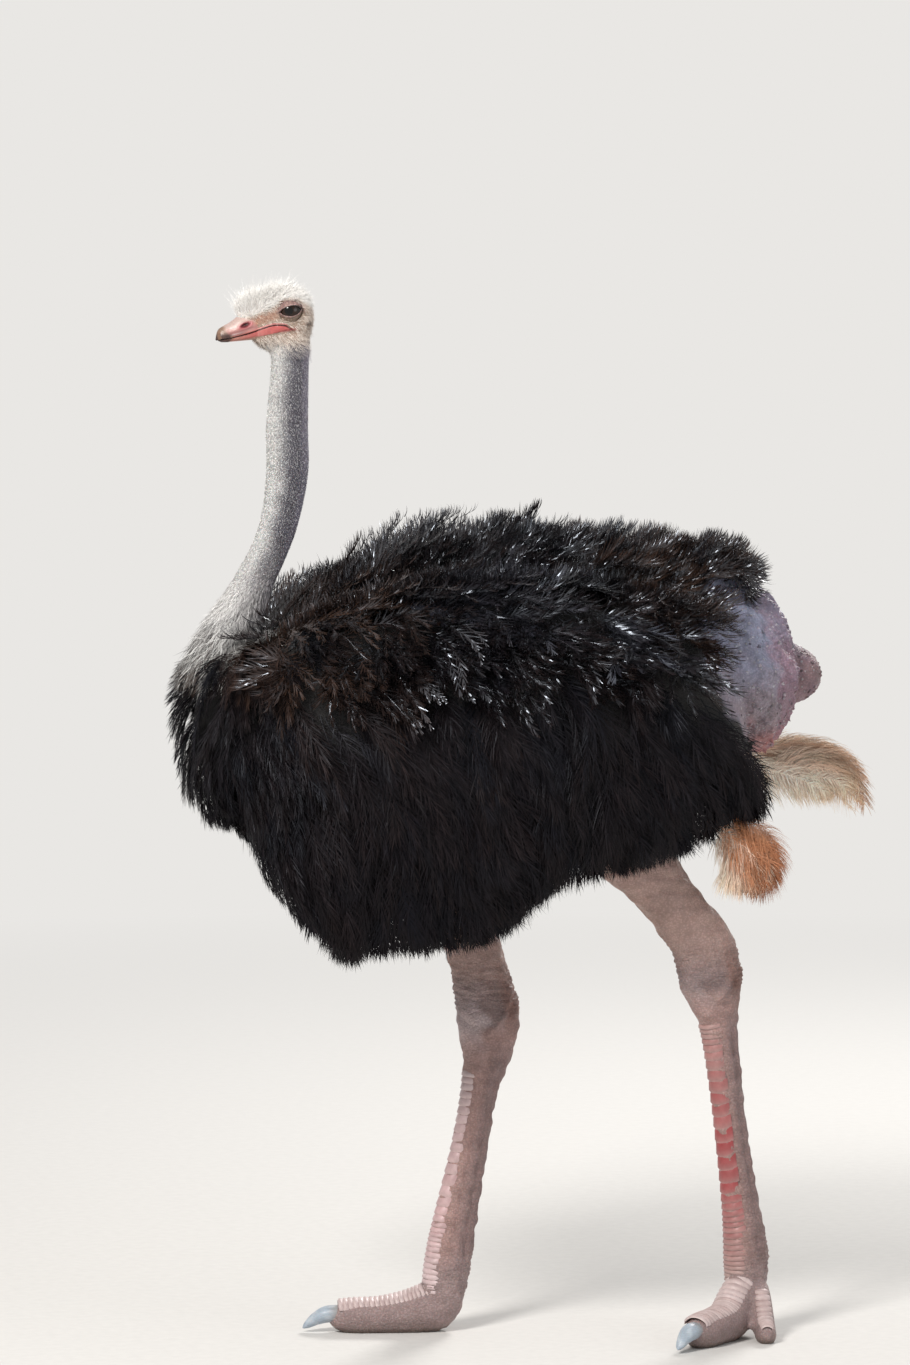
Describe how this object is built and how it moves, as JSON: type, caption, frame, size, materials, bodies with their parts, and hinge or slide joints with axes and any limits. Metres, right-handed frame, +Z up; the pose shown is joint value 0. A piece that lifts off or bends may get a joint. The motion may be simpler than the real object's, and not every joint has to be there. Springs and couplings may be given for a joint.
{
  "type": "ostrich",
  "caption": "Life-size still model of a male ostrich in mid stride, with upright bent neck, folded drooping wings, bare legs and two-toed feet.",
  "frame": {"origin": "middle of the bird's bounding box, on the ground under its soles", "axes": "+Z up; -X is where the bill points; +Y is the bird's right side"},
  "size_m": [1.328, 0.647, 1.9213],
  "materials": {
    "plumage": "black feathers with a soft sheen",
    "plumes": "loose cream-white feathers",
    "down": "fine pale down over grey-pink skin",
    "skin": "bare wrinkled skin",
    "scutes": "dry scaled skin",
    "bill": "satin horn",
    "claw": "satin horn",
    "eye": "wet"
  },
  "bodies": {
    "root": {"head": "down", "bill_upper": "bill", "bill_lower": "bill", "eye_left": "eye", "eye_right": "eye", "neck_upper": "down", "neck_middle": "down", "neck_lower": "down", "breast": "plumage", "trunk": "plumage", "rump": "skin", "tail": "skin", "wing_left": "plumage", "wing_right": "plumage", "wing_plumes_left": "plumes", "wing_plumes_right": "plumes", "thigh_left": "skin", "thigh_right": "skin", "shank_left": "scutes", "shank_right": "scutes", "big_toe_left": "scutes", "big_toe_right": "scutes", "outer_toe_left": "scutes", "outer_toe_right": "scutes", "claw_left": "claw", "claw_right": "claw"}
  },
  "joints": []
}
